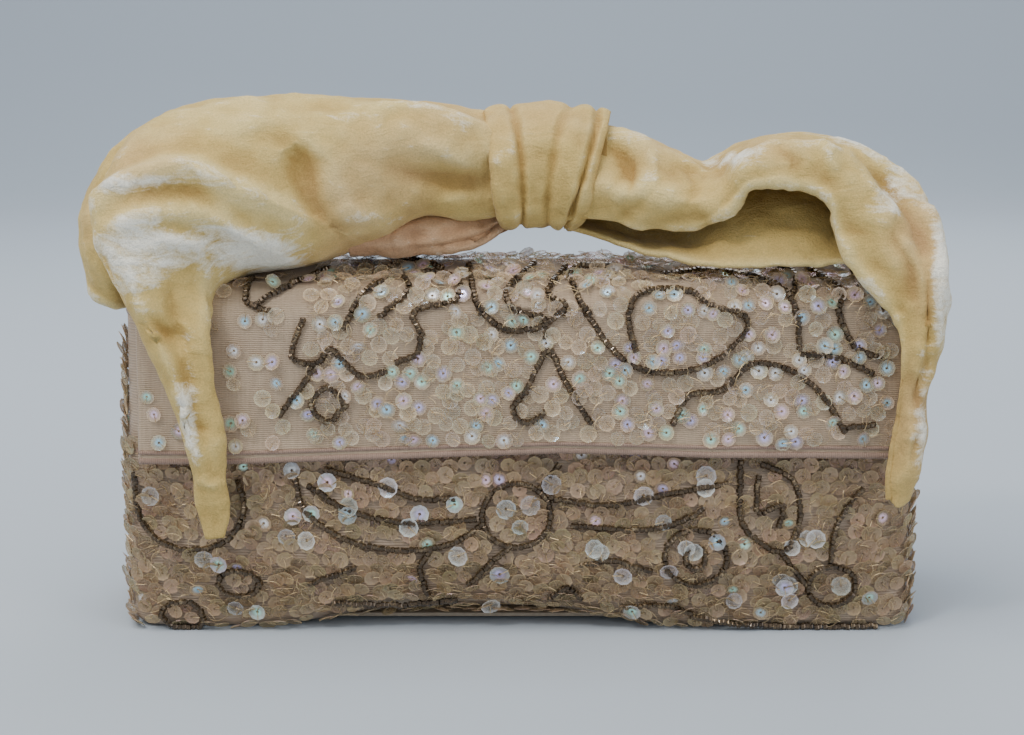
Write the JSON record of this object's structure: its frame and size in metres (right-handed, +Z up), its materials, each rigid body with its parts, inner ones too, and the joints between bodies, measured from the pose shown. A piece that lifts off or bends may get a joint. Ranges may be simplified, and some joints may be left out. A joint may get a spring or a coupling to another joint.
{
  "type": "evening bag",
  "caption": "Small flap-over evening bag in sequined, beaded silk, carried by a wide velvet sash with a wrapped knot and hanging tails.",
  "frame": {"origin": "centre of the base's underside", "axes": "+X along the bag's width to the viewer's right, -Y the front, +Z up"},
  "size_m": [0.26, 0.0741, 0.1554],
  "materials": {
    "silk": "ribbed silk faille, pale blush",
    "binding": "folded silk, dusty pink",
    "satin": "champagne satin",
    "velvet": "crushed velvet, cream to peach",
    "board": "pressed paper board",
    "snap_metal": "polished nickel",
    "sequin": "clear iridescent sequins",
    "bead": "bronze cut seed beads"
  },
  "bodies": {
    "bag": {"front_panel": "silk", "back_panel": "silk", "base_panel": "silk", "left_gusset": "silk", "right_gusset": "silk", "front_board": "board", "back_board": "board", "base_board": "board", "front_lining": "satin", "back_lining": "satin", "base_lining": "satin", "left_lining": "satin", "right_lining": "satin", "mouth_binding": "binding", "inner_pocket": "satin", "snap_socket": "snap_metal", "socket_washer": "snap_metal", "front_sequins": "sequin", "back_sequins": "sequin", "front_beads": "bead", "back_beads": "bead"},
    "flap": {"flap_shell": "silk", "flap_board": "board", "flap_lining": "satin", "flap_piping": "binding", "snap_stud": "snap_metal", "stud_washer": "snap_metal", "flap_sequins": "sequin", "flap_beads": "bead", "left_anchor": "binding", "right_anchor": "binding"},
    "handle": {"knot_wrap": "velvet", "gathered_band": "velvet", "left_wing": "velvet", "right_wing": "velvet", "left_fold": "velvet", "right_fold": "velvet"},
    "left_tail": {"left_tail": "velvet"},
    "right_tail": {"right_tail": "velvet"}
  },
  "joints": [
    {"name": "flap_fold", "type": "hinge", "parent": "bag", "child": "flap", "pos_m": [0, 0.0196, 0.1009], "axis": [-1, 0, 0], "range_deg": [0, 110]},
    {"name": "handle_tip", "type": "hinge", "parent": "flap", "child": "handle", "pos_m": [0, 0.0196, 0.1009], "axis": [-1, 0, 0], "range_deg": [0, 50]},
    {"name": "left_tail_swing", "type": "hinge", "parent": "handle", "child": "left_tail", "pos_m": [-0.1, -0.03844, 0.1073], "axis": [-1, 0, 0], "range_deg": [0, 90]},
    {"name": "right_tail_swing", "type": "hinge", "parent": "handle", "child": "right_tail", "pos_m": [0.112, -0.03844, 0.1073], "axis": [-1, 0, 0], "range_deg": [0, 90]}
  ]
}
